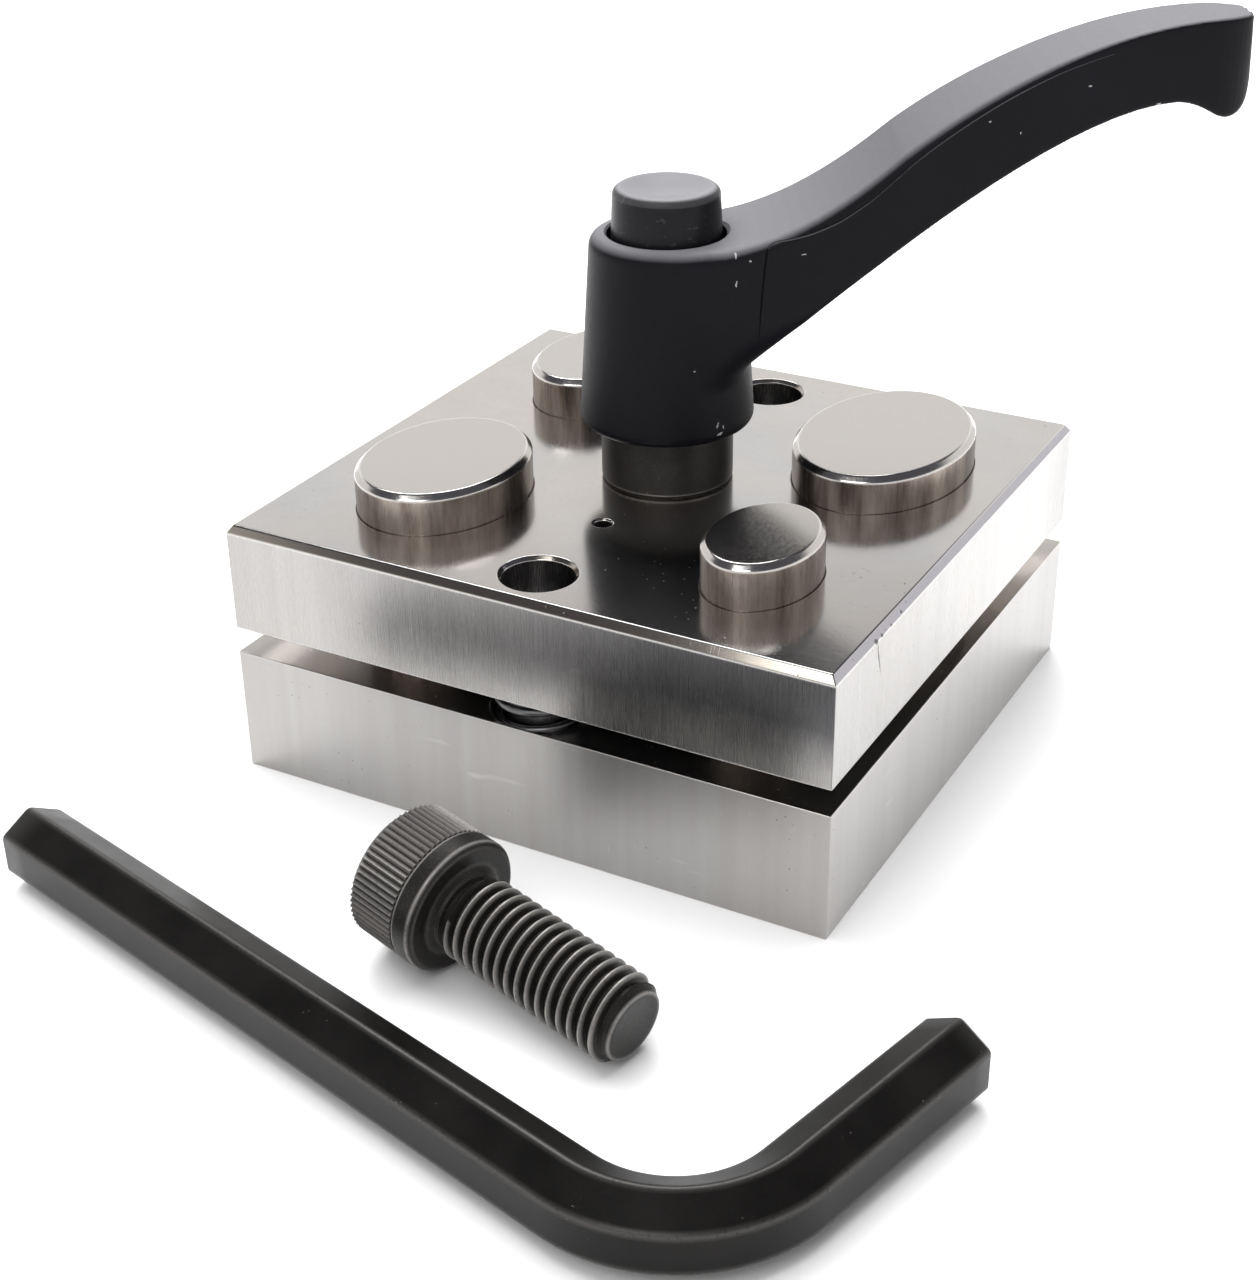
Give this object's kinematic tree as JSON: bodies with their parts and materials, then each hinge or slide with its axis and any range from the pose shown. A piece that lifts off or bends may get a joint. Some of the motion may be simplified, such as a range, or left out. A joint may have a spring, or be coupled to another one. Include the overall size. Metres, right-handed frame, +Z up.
{
  "type": "oval disc cutter",
  "caption": "Punch-and-die block for oval discs: spring-parted steel plates, oval punches and a clamping lever, with a cap screw and hexagon key.",
  "frame": {"origin": "centre of the lower plate's underside, on the bench and on the lever's axis", "axes": "+Z up along the clamping lever's axis, +X along the plates' width, -Y towards the side with the loose screw and key"},
  "size_m": [0.1142, 0.1331, 0.0896],
  "materials": {
    "ground_steel": "ground, fine grain, satin",
    "punch_steel": "hardened, ground ends, brownish sides",
    "pin_steel": "hardened and ground",
    "spring_steel": "bright drawn wire",
    "black_oxide_steel": "black oxide, lightly oiled, worn edges",
    "black_coated_zinc": "matte black powder coat on die-cast zinc",
    "black_plastic": "satin black"
  },
  "bodies": {
    "base": {"lower_plate": "ground_steel", "guide_pin_front": "pin_steel", "guide_pin_rear": "pin_steel", "lift_spring_front": "spring_steel", "lift_spring_rear": "spring_steel"},
    "guide_plate": {"upper_plate": "ground_steel"},
    "clamp_screw": {"clamp_stud": "black_oxide_steel", "toothed_insert": "black_oxide_steel", "handle_spring": "spring_steel", "spring_washer": "pin_steel", "retaining_screw": "black_oxide_steel", "release_button": "black_plastic"},
    "handle": {"lever_handle": "black_coated_zinc"},
    "punch_1_body": {"punch_1": "punch_steel"},
    "punch_2_body": {"punch_2": "punch_steel"},
    "punch_3_body": {"punch_3": "punch_steel"},
    "punch_4_body": {"punch_4": "punch_steel"},
    "loose_screw": {"cap_screw": "black_oxide_steel"},
    "loose_key": {"hex_key": "black_oxide_steel"}
  },
  "joints": [
    {"name": "plate_close", "type": "slide", "parent": "base", "child": "guide_plate", "axis": [0, 0, 1], "range_m": [-0.003, 0], "stiffness_N_per_m": 6000, "springref_m": 0.002, "deforming": ["lift_spring_front", "lift_spring_rear"]},
    {"name": "lever_turn", "type": "hinge", "parent": "guide_plate", "child": "clamp_screw", "pos_m": [0, 0, 0.0336], "axis": [0, 0, 1], "range_deg": [-720, 0]},
    {"name": "handle_lift", "type": "slide", "parent": "clamp_screw", "child": "handle", "axis": [0, 0, 1], "range_m": [0, 0.0035], "stiffness_N_per_m": 2000, "springref_m": -0.001, "deforming": ["handle_spring"]},
    {"name": "punch_1_lift", "type": "slide", "parent": "base", "child": "punch_1_body", "axis": [0, 0, 1], "range_m": [0, 0.016]},
    {"name": "punch_2_lift", "type": "slide", "parent": "base", "child": "punch_2_body", "axis": [0, 0, 1], "range_m": [0, 0.02]},
    {"name": "punch_3_lift", "type": "slide", "parent": "base", "child": "punch_3_body", "axis": [0, 0, 1], "range_m": [0, 0.02]},
    {"name": "punch_4_lift", "type": "slide", "parent": "base", "child": "punch_4_body", "axis": [0, 0, 1], "range_m": [0, 0.02]},
    {"name": "cap_screw_lift", "type": "slide", "parent": "base", "child": "loose_screw", "axis": [0, 0, 1], "range_m": [0, 0.05]},
    {"name": "hex_key_lift", "type": "slide", "parent": "base", "child": "loose_key", "axis": [0, 0, 1], "range_m": [0, 0.05]}
  ],
  "couplings": [
    {"joint": "lever_turn", "follows": "plate_close", "rad_per_m": 4188.8}
  ]
}
